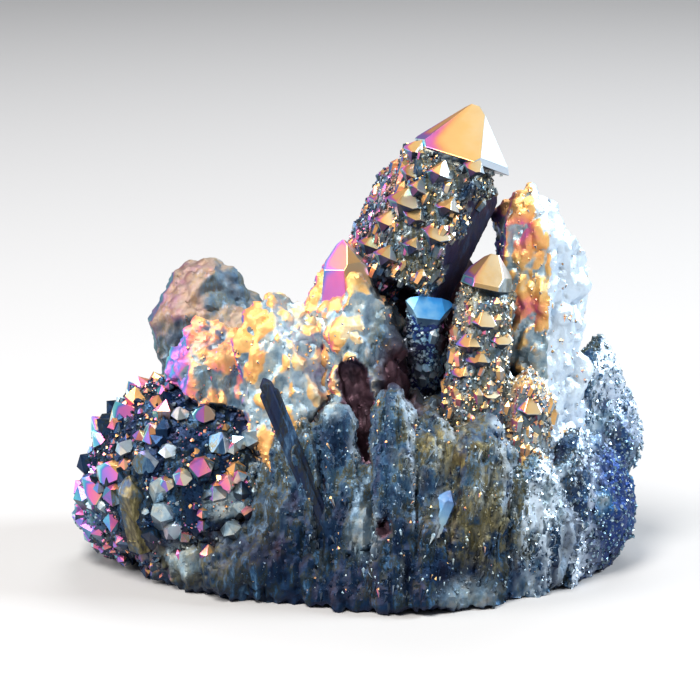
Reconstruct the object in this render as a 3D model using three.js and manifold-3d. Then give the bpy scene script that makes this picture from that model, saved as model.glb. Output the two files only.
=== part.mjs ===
// An aura quartz cluster: one mass of quartz crystals that fan up and outwards from a common root.
// A scepter-headed spire leans over the middle, with a stout drusy pair to its right, crusted
// crystals to its left, short broken crystals along the foot and small points over the flanks.
// The crystals have grown into each other, so the whole cluster is one solid, with a flat underside
// where it came off its rock.
//
// Millimetres. +X is to the right, +Y to the back and +Z up, from the middle of the underside.
import * as THREE from "three";
import { ConvexGeometry } from "three/addons/geometries/ConvexGeometry.js";
import { mergeVertices } from "three/addons/utils/BufferGeometryUtils.js";
import Module from "manifold-3d";

// ---- Driving dimensions ----

const OVERALL = { width: 61.2, depth: 38, height: 49.1 };
const MIDDLE = { x: 0.18, y: -0.38 }; // of the cluster's box, from where the tables below start
const HEAD_TILT = THREE.MathUtils.degToRad(51.8); // from the axis to the normal of a head face
const SIDES = 6;
const COMMON_DROPS = [0.1, 0.35, 0, 0.25, 0.05, 0.3]; // for a crystal that states none of its own
// A small crystal, in shares of its apothem: how far its tip and its foot are from its middle.
const SMALL = { above: 1.15, below: 1.8 };
// The buds on the sides of the large crystals: how much wider they are than their rows say, how deep
// their middle sits below the surface, in shares of the apothem, how much they lean out of the wall,
// and how fast they narrow towards the foot, in degrees.
const BUD = { growth: 1.5, sunk: 0.45, lean: 0.03, flare: -48 };
// The points on the left-hand mass, in the same terms: lift is how much they turn up from straight
// outwards, and turn is the angle from one point's roll to the next one's.
const POINT = { sunk: 0.2, lift: 0.5, turn: 25, flare: -30 };
const PIT_ROLL = 30;

// The crystals that carry the cluster. foot and tip are the ends of the axis. apothem is the distance
// from the axis to a side, measured at the shoulder. roll turns the sides about the axis, starting
// from one that faces the front. flare is how far the sides spread towards the foot, in degrees.
// drops lowers the head faces one by one, as a share of the apothem: a lowered face is a larger one.
const CRYSTALS = {
  // The spire: a smooth dark stem, with the wide, leaning scepter head and its clean tip on it.
  stem: { foot: [6, 1, 0], tip: [9.5, 3, 36], apothem: 3.6, roll: 8, flare: 0 },
  stemSide: { foot: [3, 1, 0], tip: [4.6, 2.6, 33], apothem: 3.2, roll: 20, flare: 0 },
  head: { foot: [4.5, -2.8, 30.7], tip: [12.8, 0.7, 49.1], apothem: 5.3, roll: -11, flare: -2,
    drops: [0.23, 0.24, 0.4, 0.41, 0.1, 0.07] },
  headTip: { foot: [10.6, -0.6, 43.3], tip: [13.1, 1, 50.7], apothem: 4.9, roll: -22, flare: -2,
    drops: [0.4, 0.24, 0.4, 0.41, 0.1, 0.21] },
  headSide: { foot: [0.4, -1.6, 29.7], tip: [7.7, 1, 45.3], apothem: 3.4, roll: -11, flare: 0 },
  // The small crystal that leans forwards out of the hollow in front of the stem.
  hollowPoint: { foot: [6.3, -1.5, 19.6], tip: [7.5, -7.5, 32.2], apothem: 2.15, roll: -1, flare: 0,
    drops: [0.37, 0, 0.1, 1.14, 0.1, 0] },
  // Left of the spire: a crusted crystal with a clean point coming out of it.
  crusted: { foot: [2, -7, 0], tip: [-1.5, -3, 36], apothem: 4.5, roll: 20, flare: 2,
    drops: [0, 0.4, 0.2, 0, 0.1, 0.3] },
  cleanPoint: { foot: [-0.9, -4.3, 29], tip: [-1.6, -3.9, 36.4], apothem: 2.1, roll: 25, flare: 10 },
  // The two crusted crystals on the left, and the tall blunt one behind them.
  leftOuter: { foot: [-9, -4, 0], tip: [-17.6, -3, 30.6], apothem: 4.3, roll: 10, flare: 2,
    drops: [0.5, 0.3, 0.8, 0.4, 0.6, 0.45] },
  leftInner: { foot: [-4, -7, 0], tip: [-9.5, -4.5, 32.4], apothem: 4.6, roll: 40, flare: 2,
    drops: [0.2, 0, 0.4, 0.5, 0, 0.1] },
  leftBack: { foot: [-10, 7, 0], tip: [-17.6, 9.5, 35], apothem: 6, roll: 15, flare: 1,
    drops: [0.7, 0.8, 0.6, 0.6, 0.8, 0.7] },
  leftBackLow: { foot: [-13, 6, 0], tip: [-20.3, 8.6, 32.6], apothem: 3.8, roll: 35, flare: 2,
    drops: [0.7, 0.6, 0.6, 0.6, 0.7, 0.6] },
  // Right of the spire: the drusy crystal in front, its short neighbour and the tall blunt one.
  drusy: { foot: [10.3, -9, 0], tip: [13.3, -5.6, 34.7], apothem: 3, roll: 15, flare: 2,
    drops: [0.3, 0, 0, 0.4, 0, 0.2] },
  drusyTip: { foot: [13, -6.4, 31.2], tip: [13.9, -5.9, 35.4], apothem: 2.1, roll: -5, flare: 8,
    drops: [0.45, 0.1, 0, 0.3, 0, 0.3] },
  drusyShort: { foot: [15, -9, 0], tip: [18, -7, 24.5], apothem: 2.6, roll: 5, flare: 3,
    drops: [0, 0.5, 0.2, 0, 0.3, 0] },
  blunt: { foot: [18.6, -1, 0], tip: [18.8, 0.5, 43.8], apothem: 4.1, roll: 40, flare: 1,
    drops: [0.7, 1.1, 0.7, 0.5, 0.3, 0.4] },
  bluntShoulder: { foot: [19.6, 0, 4], tip: [21.7, 1.5, 34.6], apothem: 2.2, roll: 12, flare: 1 },
  // The two crystals at the right-hand end.
  rightEnd: { foot: [20, 1, 0], tip: [26.4, 4, 25], apothem: 3.5, roll: 20, flare: 1,
    drops: [0, 0.3, 0, 0.5, 0.2, 0] },
  rightLow: { foot: [20, 2, 0], tip: [29.8, 5, 18.6], apothem: 3.6, roll: 0, flare: 0 },
  // Short broken crystals that fan out along the foot of the front.
  footA: { foot: [-8, -7, 0], tip: [-12, -8, 17], apothem: 3.2, roll: 12, flare: 6 },
  footB: { foot: [-3, -12, 0], tip: [-6.5, -9, 20.5], apothem: 2.9, roll: 22, flare: 5 },
  footC: { foot: [0.5, -14, 0], tip: [-2.8, -10, 21.5], apothem: 1.9, roll: 50, flare: 5 },
  footD: { foot: [3.8, -15, 0], tip: [3.4, -10.5, 23], apothem: 2.1, roll: 0, flare: 4 },
  footE: { foot: [6.5, -15, 0], tip: [7.4, -10, 20], apothem: 2.4, roll: 35, flare: 5 },
  footF: { foot: [10.5, -12.5, 0], tip: [13, -10.5, 20.5], apothem: 3.2, roll: 10, flare: 5 },
  footG: { foot: [15, -9.5, 0], tip: [18.5, -9, 17.5], apothem: 3.3, roll: 25, flare: 5 },
  footH: { foot: [19.5, -6, 0], tip: [23.5, -4, 17], apothem: 3.5, roll: 0, flare: 4 },
  // The slender rod of three crystals and the small tablet that lie against the front, and the
  // prism that lies against the left-hand mass.
  rod: { foot: [-1.3, -15, 2.8], tip: [-9.8, -11.6, 23.2], apothem: 0.62, roll: 0, flare: 0 },
  rodLeft: { foot: [-1.7, -15, 2.8], tip: [-9.9, -11.9, 21.8], apothem: 0.38, roll: 12, flare: 0 },
  rodRight: { foot: [-0.8, -15, 2.8], tip: [-8.7, -11.8, 22.2], apothem: 0.34, roll: 20, flare: 0 },
  leftPrism: { foot: [-22.4, -8.2, 4], tip: [-23.6, -10.8, 12.8], apothem: 1.4, roll: 20, flare: 0 },
  tablet: { foot: [6.4, -15.5, 5.2], tip: [9.4, -15, 12.4], apothem: 0.9, roll: 20, flare: 0 },
  // The back of the fan.
  backA: { foot: [0, 6, 0], tip: [-1, 13, 27], apothem: 4.8, roll: 5, flare: 1,
    drops: [0, 0.5, 0, 0.1, 0.2, 0.3] },
  backB: { foot: [12, 6, 0], tip: [17, 15, 24], apothem: 4.4, roll: 25, flare: 1,
    drops: [0.5, 0, 0, 0.4, 0.1, 0] },
  backC: { foot: [-5, 8, 0], tip: [-9, 16.5, 19], apothem: 4, roll: 15, flare: 3 },
  backD: { foot: [4, 7, 0], tip: [5, 17.5, 19], apothem: 3.6, roll: 40, flare: 3 },
  backE: { foot: [-14, 6, 0], tip: [-22.5, 12.5, 18], apothem: 4, roll: 0, flare: 2,
    drops: [0.1, 0, 0.6, 0, 0, 0.4] },
  backF: { foot: [20, 6, 0], tip: [26, 12, 15], apothem: 3.5, roll: 10, flare: 2 },
};

// Rounded masses of crust, as the middle and the half-sizes: six fill in between the crystals and
// the last rounds off the tall blunt pair on the left.
const MASSES = [
  { at: [-17, -1.5, 10], half: [12, 11.5, 11.5], corners: 70 },
  { at: [-23.5, 0.5, 6], half: [7, 8, 6.6], corners: 40 },
  { at: [4, -3, 5], half: [21, 13.5, 14.5], corners: 80 },
  { at: [-4, -3, 3], half: [20, 13, 8], corners: 60 },
  { at: [0, 5, 4], half: [26, 12.5, 9], corners: 70 },
  { at: [21, 0, 6], half: [8.5, 9, 9], corners: 40 },
  { at: [-16.6, 8.8, 25.4], half: [4.7, 4.2, 5.4], corners: 40 },
];

// Small crystals on the sides of a large one, which they grow parallel to. wall is the number of
// the side, down the distance from the large crystal's tip and across the place along the wall.
const BUDS = [
  { on: "head", wall: 0, down: 8.3, across: -0.9, apothem: 1.05 },
  { on: "head", wall: 0, down: 10.6, across: -2.2, apothem: 0.85 },
  { on: "head", wall: 0, down: 6.4, across: 2.3, apothem: 0.8 },
  { on: "head", wall: 0, down: 11, across: 1.2, apothem: 1.05 },
  { on: "head", wall: 0, down: 13.2, across: -1.4, apothem: 0.95 },
  { on: "head", wall: 0, down: 14, across: 1.5, apothem: 1.15 },
  { on: "head", wall: 0, down: 16.2, across: -0.2, apothem: 0.8 },
  { on: "head", wall: 0, down: 18.2, across: -2.4, apothem: 0.9 },
  { on: "head", wall: 5, down: 7.2, across: 0.4, apothem: 0.9 },
  { on: "head", wall: 5, down: 9.4, across: 1.6, apothem: 0.9 },
  { on: "head", wall: 5, down: 12.4, across: 2.6, apothem: 1.25 },
  { on: "head", wall: 5, down: 15, across: 0.8, apothem: 0.95 },
  { on: "head", wall: 5, down: 13.2, across: -2.2, apothem: 1.1 },
  { on: "head", wall: 5, down: 17.8, across: -0.6, apothem: 1 },
  { on: "drusy", wall: 0, down: 6.6, across: -0.6, apothem: 1 },
  { on: "drusy", wall: 0, down: 8.4, across: 1.3, apothem: 0.9 },
  { on: "drusy", wall: 0, down: 10.4, across: -0.9, apothem: 1.05 },
  { on: "drusy", wall: 5, down: 9, across: 0.8, apothem: 1 },
  { on: "drusy", wall: 5, down: 12, across: 0.3, apothem: 1 },
  { on: "drusy", wall: 0, down: 14, across: 0.6, apothem: 0.8 },
  { on: "drusyShort", wall: 0, down: 5.4, across: 0, apothem: 0.9 },
  { on: "backA", wall: 3, down: 9, across: 0.5, apothem: 1.3 },
  { on: "backA", wall: 2, down: 13, across: -0.6, apothem: 1.1 },
  { on: "backB", wall: 3, down: 9, across: -0.6, apothem: 1.2 },
  { on: "leftBack", wall: 3, down: 10, across: 1, apothem: 1.4 },
  { on: "leftBack", wall: 4, down: 15, across: -1, apothem: 1.2 },
];

// Small crystals on the left-hand mass, which point every way. turn and rise are the direction
// from the middle of the mass, in degrees from the front and from the level.
const POINTS = [
  { turn: -64, rise: 44, apothem: 1.7 },
  { turn: -73, rise: 26, apothem: 1.3 },
  { turn: -43, rise: 27, apothem: 1 },
  { turn: -27, rise: 37, apothem: 1.3 },
  { turn: -27, rise: 22, apothem: 1.5 },
  { turn: -14, rise: 29, apothem: 1 },
  { turn: -52, rise: 14, apothem: 1.8 },
  { turn: -68, rise: 0, apothem: 2.1 },
  { turn: -14, rise: 11, apothem: 0.9 },
  { turn: -5, rise: 15, apothem: 1 },
  { turn: -10, rise: 50, apothem: 1 },
  { turn: 8, rise: 50, apothem: 1.2 },
  { turn: 16, rise: 33, apothem: 1.4 },
  { turn: -11, rise: -14, apothem: 1.1 },
  { turn: 18, rise: 13, apothem: 1.2 },
  { turn: -104, rise: 24, apothem: 1.5 },
  { turn: -98, rise: 52, apothem: 1.4 },
  { turn: -120, rise: 8, apothem: 1.6 },
  { turn: -142, rise: 30, apothem: 1.4 },
];

// Pits that never filled with quartz: a slanting slit and a small hole, low on the front.
const PITS = [
  { foot: [2.4, -12.8, 9], tip: [-1.2, -8.6, 25], apothem: 1.3 },
  { foot: [2.4, -20, 7], tip: [2.6, -12, 10.5], apothem: 0.5 },
];

// ---- Shape helpers ----

const wasm = await Module();
wasm.setup();

/** The manifold-3d solid of a closed three.js geometry. */
function solidOf(geometry) {
  const bare = geometry.clone();
  bare.deleteAttribute("normal");
  bare.deleteAttribute("uv");
  const merged = mergeVertices(bare, 1e-4);
  const mesh = new wasm.Mesh({
    numProp: 3,
    vertProperties: new Float32Array(merged.attributes.position.array),
    triVerts: new Uint32Array(merged.index.array),
  });
  return new wasm.Manifold(mesh);
}

function plane(normal, point) {
  return new THREE.Plane().setFromNormalAndCoplanarPoint(normal, point);
}

/** The point where three planes meet, or null where they are too nearly parallel. */
function meet(a, b, c) {
  const volume = a.normal.dot(b.normal.clone().cross(c.normal));
  if (Math.abs(volume) < 1e-6) return null;
  return new THREE.Vector3()
    .addScaledVector(b.normal.clone().cross(c.normal), -a.constant)
    .addScaledVector(c.normal.clone().cross(a.normal), -b.constant)
    .addScaledVector(a.normal.clone().cross(b.normal), -c.constant)
    .divideScalar(volume);
}

/** The corners of the convex body that lies behind every plane. */
function cornersBehind(planes) {
  const corners = [];
  for (let i = 0; i < planes.length; i++)
    for (let j = i + 1; j < planes.length; j++)
      for (let k = j + 1; k < planes.length; k++) {
        const corner = meet(planes[i], planes[j], planes[k]);
        if (!corner || planes.some((one) => one.distanceToPoint(corner) > 1e-6)) continue;
        if (corners.every((other) => other.distanceTo(corner) > 1e-5)) corners.push(corner);
      }
  return corners;
}

/** The directions along a crystal and straight out of each of its sides. */
function directions({ foot, tip, roll }) {
  const axis = new THREE.Vector3(...tip).sub(new THREE.Vector3(...foot)).normalize();
  const front = new THREE.Vector3(0, -1, 0).projectOnPlane(axis).normalize();
  const side = axis.clone().cross(front);
  const walls = Array.from({ length: SIDES }, (_, k) => {
    const turn = THREE.MathUtils.degToRad(roll) + (2 * Math.PI * k) / SIDES;
    return front.clone().multiplyScalar(Math.cos(turn)).addScaledVector(side, Math.sin(turn));
  });
  return { axis, walls };
}

/** One quartz crystal: a six-sided prism with a six-faced head. */
function crystal(row) {
  const { foot, tip, apothem, flare, drops = COMMON_DROPS } = row;
  const { axis, walls } = directions(row);
  const top = new THREE.Vector3(...tip);
  const lean = THREE.MathUtils.degToRad(flare);
  const shoulder = top.clone().addScaledVector(axis, -apothem * Math.tan(HEAD_TILT));
  const planes = [plane(axis.clone().negate(), new THREE.Vector3(...foot))];
  walls.forEach((outward, k) => {
    const wall = outward.clone().multiplyScalar(Math.cos(lean)).addScaledVector(axis, Math.sin(lean));
    planes.push(plane(wall, shoulder.clone().addScaledVector(outward, apothem)));
    const face = outward.clone().multiplyScalar(Math.sin(HEAD_TILT));
    face.addScaledVector(axis, Math.cos(HEAD_TILT));
    planes.push(plane(face, top.clone().addScaledVector(axis, -drops[k] * apothem)));
  });
  return solidOf(new ConvexGeometry(cornersBehind(planes)));
}

/** A small crystal that stands at a place on the surface, along a direction, with its foot sunk in. */
function smallCrystal(place, axis, apothem, roll, flare) {
  const tip = place.clone().addScaledVector(axis, SMALL.above * apothem);
  const foot = place.clone().addScaledVector(axis, -SMALL.below * apothem);
  return crystal({ foot: foot.toArray(), tip: tip.toArray(), apothem, roll, flare });
}

/** A small crystal on the side of a large one and almost parallel to it. */
function bud({ on, wall, down, across, apothem }) {
  const host = CRYSTALS[on];
  const { axis, walls } = directions(host);
  const along = axis.clone().cross(walls[wall]);
  const place = new THREE.Vector3(...host.tip)
    .addScaledVector(axis, -down)
    .addScaledVector(walls[wall], host.apothem - BUD.sunk * apothem)
    .addScaledVector(along, across);
  axis.addScaledVector(walls[wall], BUD.lean).normalize();
  return smallCrystal(place, axis, BUD.growth * apothem, host.roll, BUD.flare);
}

/** A small crystal that stands out of the left-hand mass. */
function point({ turn, rise, apothem }, index) {
  const [around, up] = [turn, rise].map(THREE.MathUtils.degToRad);
  const outward = new THREE.Vector3(
    Math.cos(up) * Math.sin(around), -Math.cos(up) * Math.cos(around), Math.sin(up));
  const { at, half } = MASSES[0];
  const place = outward.clone().multiply(new THREE.Vector3(...half)).add(new THREE.Vector3(...at));
  const axis = outward.clone().add(new THREE.Vector3(0, 0, POINT.lift)).normalize();
  place.addScaledVector(axis, -POINT.sunk * apothem);
  return smallCrystal(place, axis, apothem, POINT.turn * index, POINT.flare);
}

/** A rounded, faceted mass: the hull of points spread evenly over an ellipsoid. */
function mass({ at, half, corners }) {
  const golden = Math.PI * (3 - Math.sqrt(5));
  const points = Array.from({ length: corners }, (_, i) => {
    const height = 1 - (2 * i + 1) / corners;
    const ring = Math.sqrt(1 - height * height);
    return new THREE.Vector3(ring * Math.cos(golden * i), ring * Math.sin(golden * i), height)
      .multiply(new THREE.Vector3(...half))
      .add(new THREE.Vector3(...at));
  });
  return solidOf(new ConvexGeometry(points));
}

/** The empty shape of a pit, as a plain six-sided bar. */
function pit(row) {
  return crystal({ ...row, roll: PIT_ROLL, flare: 0 });
}

function geometryOf(solid) {
  const { vertProperties, triVerts } = solid.getMesh();
  const geometry = new THREE.BufferGeometry();
  geometry.setAttribute("position", new THREE.BufferAttribute(new Float32Array(vertProperties), 3));
  geometry.setIndex(new THREE.BufferAttribute(new Uint32Array(triVerts), 1));
  geometry.computeVertexNormals();
  return geometry;
}

// ---- The cluster ----

function cluster() {
  const large = Object.values(CRYSTALS).map(crystal);
  const grown = [...large, ...MASSES.map(mass), ...BUDS.map(bud), ...POINTS.map(point)];
  const { width, depth, height } = OVERALL;
  const rock = new THREE.BoxGeometry(2 * width, 2 * depth, height).translate(0, 0, -height / 2);
  return [...PITS.map(pit), solidOf(rock)].reduce(
    (solid, empty) => solid.subtract(empty),
    grown.reduce((solid, one) => solid.add(one)),
  );
}

const film = new THREE.MeshStandardMaterial({ color: 0x8f9aa8, roughness: 0.3, metalness: 0.6 });
const quartz = new THREE.Mesh(geometryOf(cluster()), film);
quartz.name = "quartz_cluster";
quartz.position.set(-MIDDLE.x, -MIDDLE.y, 0);

const part = new THREE.Group();
part.add(quartz);
export default part;
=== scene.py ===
"""The looks of an aura quartz cluster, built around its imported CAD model.

The rough quartz is five skins, each made from some of the cluster's crystals and masses, remeshed
finely and roughened by noise. Small crystals grow over them, and crystals with clean faces are
sharp meshes that stand in them. Sizes in the tables are millimetres, as in the CAD model.
"""
import itertools
import math

import bmesh
import bpy
import numpy as np
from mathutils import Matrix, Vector


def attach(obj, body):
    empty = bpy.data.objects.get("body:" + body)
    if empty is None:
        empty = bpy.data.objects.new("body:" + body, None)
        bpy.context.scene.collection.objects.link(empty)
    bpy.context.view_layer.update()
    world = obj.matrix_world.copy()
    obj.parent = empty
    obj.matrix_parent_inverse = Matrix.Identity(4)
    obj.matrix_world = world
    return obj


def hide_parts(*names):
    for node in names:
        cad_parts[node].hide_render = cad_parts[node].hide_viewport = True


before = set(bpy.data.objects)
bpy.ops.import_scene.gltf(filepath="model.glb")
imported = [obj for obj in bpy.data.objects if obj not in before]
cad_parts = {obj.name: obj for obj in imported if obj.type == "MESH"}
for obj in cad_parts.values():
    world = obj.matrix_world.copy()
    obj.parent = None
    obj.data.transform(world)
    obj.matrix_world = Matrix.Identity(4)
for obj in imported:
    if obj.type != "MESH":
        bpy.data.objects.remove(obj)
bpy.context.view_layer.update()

# ---- Driving values ----

MM = 0.001
SEED = 41
MIDDLE = np.array([0.18, -0.38, 0.0])  # of the cluster's box, from where the tables start, as in CAD
HEAD_TILT = math.radians(51.8)  # from a quartz axis to the normal of a head face
COMMON_DROPS = (0.1, 0.35, 0, 0.25, 0.05, 0.3)
TINY = 1e-6
MASS_POINTS = 400


def crystal(foot, tip, apothem, roll, finish, look="plain", **more):
    """A crystal of the CAD model, with how rough its sides are and how it is coated.

    Apothem is the half width. More can be flare, how many degrees the walls spread towards the
    foot, drops, how far each head face is set down, in half widths, and bare, the walls with no
    druse from bare_from below the tip.
    """
    return dict(foot=foot, tip=tip, apothem=apothem, roll=roll, finish=finish, look=look, **more)


CRYSTALS = {
    "stem": crystal((6, 1, 0), (9.5, 3, 36), 3.6, 8, "smooth", "smoky"),
    "stemSide": crystal((3, 1, 0), (4.6, 2.6, 33), 3.2, 20, "smooth", "smoky"),
    "head": crystal((4.5, -2.8, 30.7), (12.8, 0.7, 49.1), 5.3, -11, "druse", "navy", flare=-2,
                    drops=(0.23, 0.24, 0.4, 0.41, 0.1, 0.07), bare=(1, 2), bare_from=8.5),
    "headTip": crystal((10.6, -0.6, 43.3), (13.1, 1, 50.7), 4.9, -22, "smooth", "gold", flare=-2,
                       drops=(0.4, 0.24, 0.4, 0.41, 0.1, 0.21)),
    "headSide": crystal((0.4, -1.6, 29.7), (7.7, 1, 45.3), 3.4, -11, "druse", "dusk"),
    "hollowPoint": crystal((6.3, -1.5, 19.6), (7.5, -7.5, 32.2), 2.15, -1, "druse", "midnight",
                           drops=(0.37, 0, 0.1, 1.14, 0.1, 0)),
    "crusted": crystal((2, -7, 0), (-1.5, -3, 36), 4.5, 20, "crust", "crusty", flare=2,
                       drops=(0, 0.4, 0.2, 0, 0.1, 0.3)),
    "cleanPoint": crystal((-0.9, -4.3, 29), (-1.6, -3.9, 36.4), 2.1, 25, "clean", "rose", flare=10),
    "leftOuter": crystal((-9, -4, 0), (-17.6, -3, 30.6), 4.3, 10, "crust", "coral", flare=2,
                         drops=(0.5, 0.3, 0.8, 0.4, 0.6, 0.45)),
    "leftInner": crystal((-4, -7, 0), (-9.5, -4.5, 32.4), 4.6, 40, "crust", "crusty", flare=2,
                         drops=(0.2, 0, 0.4, 0.5, 0, 0.1)),
    "leftBack": crystal((-10, 7, 0), (-17.6, 9.5, 35), 6, 15, "worn", "shaded", flare=1,
                        drops=(0.7, 0.8, 0.6, 0.6, 0.8, 0.7)),
    "leftBackLow": crystal((-13, 6, 0), (-20.3, 8.6, 32.6), 3.8, 35, "worn", "shaded", flare=2,
                           drops=(0.7, 0.6, 0.6, 0.6, 0.7, 0.6)),
    "drusy": crystal((10.3, -9, 0), (13.3, -5.6, 34.7), 3, 15, "druse", "amber", flare=2,
                     drops=(0.3, 0, 0, 0.4, 0, 0.2)),
    "drusyTip": crystal((13, -6.4, 31.2), (13.9, -5.9, 35.4), 2.1, -5, "clean", "honey", flare=8,
                        drops=(0.45, 0.1, 0, 0.3, 0, 0.3)),
    "drusyShort": crystal((15, -9, 0), (18, -7, 24.5), 2.6, 5, "druse", "honey", flare=3,
                          drops=(0, 0.5, 0.2, 0, 0.3, 0)),
    "blunt": crystal((18.6, -1, 0), (18.8, 0.5, 43.8), 4.1, 40, "crust", "blaze", flare=1,
                     drops=(0.7, 1.1, 0.7, 0.5, 0.3, 0.4)),
    "bluntShoulder": crystal((19.6, 0, 4), (21.7, 1.5, 34.6), 2.2, 12, "crust", "blaze", flare=1),
    "rightEnd": crystal((20, 1, 0), (26.4, 4, 25), 3.5, 20, "sugar", "steel", flare=1,
                        drops=(0, 0.3, 0, 0.5, 0.2, 0)),
    "rightLow": crystal((20, 2, 0), (29.8, 5, 18.6), 3.6, 0, "sugar", "steel"),
    "footA": crystal((-8, -7, 0), (-12, -8, 17), 3.2, 12, "column", flare=6),
    "footB": crystal((-3, -12, 0), (-6.5, -9, 20.5), 2.9, 22, "column", flare=5),
    "footC": crystal((0.5, -14, 0), (-2.8, -10, 21.5), 1.9, 50, "column", flare=5),
    "footD": crystal((3.8, -15, 0), (3.4, -10.5, 23), 2.1, 0, "column", flare=4),
    "footE": crystal((6.5, -15, 0), (7.4, -10, 20), 2.4, 35, "column", flare=5),
    "footF": crystal((10.5, -12.5, 0), (13, -10.5, 20.5), 3.2, 10, "column", flare=5),
    "footG": crystal((15, -9.5, 0), (18.5, -9, 17.5), 3.3, 25, "sugar", "steel", flare=5),
    "footH": crystal((19.5, -6, 0), (23.5, -4, 17), 3.5, 0, "sugar", "steel", flare=4),
    "rod": crystal((-1.3, -15, 2.8), (-9.8, -11.6, 23.2), 0.62, 0, "clean", "rod"),
    "rodLeft": crystal((-1.7, -15, 2.8), (-9.9, -11.9, 21.8), 0.38, 12, "clean", "rod"),
    "rodRight": crystal((-0.8, -15, 2.8), (-8.7, -11.8, 22.2), 0.34, 20, "clean", "rod"),
    "leftPrism": crystal((-22.4, -8.2, 4), (-23.6, -10.8, 12.8), 1.4, 20, "clean", "bronze"),
    "tablet": crystal((6.4, -15.5, 5.2), (9.4, -15, 12.4), 0.9, 20, "clean", "blade"),
    "backA": crystal((0, 6, 0), (-1, 13, 27), 4.8, 5, "druse", "navy", flare=1,
                     drops=(0, 0.5, 0, 0.1, 0.2, 0.3)),
    "backB": crystal((12, 6, 0), (17, 15, 24), 4.4, 25, "druse", "navy", flare=1,
                     drops=(0.5, 0, 0, 0.4, 0.1, 0)),
    "backC": crystal((-5, 8, 0), (-9, 16.5, 19), 4, 15, "crust", "muted", flare=3),
    "backD": crystal((4, 7, 0), (5, 17.5, 19), 3.6, 40, "crust", "muted", flare=3),
    "backE": crystal((-14, 6, 0), (-22.5, 12.5, 18), 4, 0, "crust", "muted", flare=2,
                     drops=(0.1, 0, 0.6, 0, 0, 0.4)),
    "backF": crystal((20, 6, 0), (26, 12, 15), 3.5, 10, "crust", "muted", flare=2),
}

MASSES = [
    dict(at=(-17, -1.5, 10), half=(12, 11.5, 11.5), finish="cluster", look="deep"),
    dict(at=(-23.5, 0.5, 6), half=(7, 8, 6.6), finish="cluster", look="dusk"),
    dict(at=(4, -3, 5), half=(21, 13.5, 14.5), finish="column"),
    dict(at=(-4, -3, 3), half=(20, 13, 8), finish="column"),
    dict(at=(0, 5, 4), half=(26, 12.5, 9), finish="column"),
    dict(at=(21, 0, 6), half=(8.5, 9, 9), finish="sugar", look="steel"),
    dict(at=(-16.6, 8.8, 25.4), half=(4.7, 4.2, 5.4), finish="worn", look="shaded"),
]

# Small crystals on big ones: the host, its wall, how far down from the host's tip and across from
# the wall's middle, and the half width.
BUDS = [
    ("head", 0, 8.3, -0.9, 1.05), ("head", 0, 10.6, -2.2, 0.85), ("head", 0, 6.4, 2.3, 0.8),
    ("head", 0, 11.0, 1.2, 1.05), ("head", 0, 13.2, -1.4, 0.95), ("head", 0, 14.0, 1.5, 1.15),
    ("head", 0, 16.2, -0.2, 0.8), ("head", 0, 18.2, -2.4, 0.9), ("head", 5, 7.2, 0.4, 0.9),
    ("head", 5, 9.4, 1.6, 0.9), ("head", 5, 12.4, 2.6, 1.25), ("head", 5, 15.0, 0.8, 0.95),
    ("head", 5, 13.2, -2.2, 1.1), ("head", 5, 17.8, -0.6, 1), ("drusy", 0, 6.6, -0.6, 1),
    ("drusy", 0, 8.4, 1.3, 0.9), ("drusy", 0, 10.4, -0.9, 1.05), ("drusy", 5, 9, 0.8, 1),
    ("drusy", 5, 12, 0.3, 1), ("drusy", 0, 14, 0.6, 0.8), ("drusyShort", 0, 5.4, 0, 0.9),
    ("backA", 3, 9, 0.5, 1.3),
    ("backA", 2, 13, -0.6, 1.1), ("backB", 3, 9, -0.6, 1.2), ("leftBack", 3, 10, 1, 1.4),
    ("leftBack", 4, 15, -1, 1.2),
]

# Small crystals on the left-hand mass: degrees round from the front, degrees up, and half width.
POINTS = [
    (-64, 44, 1.7), (-73, 26, 1.3), (-43, 27, 1), (-27, 37, 1.3), (-27, 22, 1.5), (-14, 29, 1),
    (-52, 14, 1.8), (-68, 0, 2.1), (-14, 11, 0.9), (-5, 15, 1), (-10, 50, 1), (8, 50, 1.2),
    (16, 33, 1.4), (-11, -14, 1.1), (18, 13, 1.2), (-104, 24, 1.5), (-98, 52, 1.4),
    (-120, 8, 1.6), (-142, 30, 1.4),
]

# Pits cut in the middle skin, each in the shape of a crystal.
PITS = [
    dict(foot=(2.4, -12.8, 9), tip=(-1.2, -8.6, 25), apothem=1.3, roll=30),
    dict(foot=(2.4, -20, 7), tip=(2.6, -12, 10.5), apothem=0.5, roll=30),
]

# Clean ends on rough crystals: depth is how far the walls run below the head faces.
CAPS = {
    "headTip": dict(depth=0.4, look="crown", bevel=0.09),
    "hollowPoint": dict(depth=0.05, look="azure", bevel=0.07),
}
CAP_TAPER = math.radians(16)
CAP_PROUD = 0.06
BEVEL = 0.05
RIM = 0.3  # the narrowest face with a band of another colour along its edges
GRAIN = 0.27  # the widest crystal of the druse that is a plain double pyramid
SHARP = math.radians(36)
UNGILDED = 0.3  # how much of a skin's gilding its small crystals have, where they aren't gilded

# How far each kind of surface is sunk, and pushed in and out by each noise.
PUSHES = ("sunk", "lump", "swell", "plate", "ridge", "grain")
FINISHES = {
    "smooth": (0, 0.06, 0, 0.03, 0.03, 0),
    "clean": (0, 0, 0, 0, 0, 0),
    "worn": (0.1, 0.5, 0.4, 0.14, 0.06, 0.06),
    "sugar": (0.15, 0.4, 0.35, 0.25, 0.15, 0.15),
    "crust": (0.1, 0.55, 0.9, 0.14, 0.12, 0.07),
    "column": (0.05, 0.55, 0.4, 0.15, 1.05, 0.14),
    "druse": (0.35, 0.2, 0, 0.15, 0, 0.1),
    "cluster": (0.55, 0.3, 0, 0.2, 0, 0.1),
}

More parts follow.
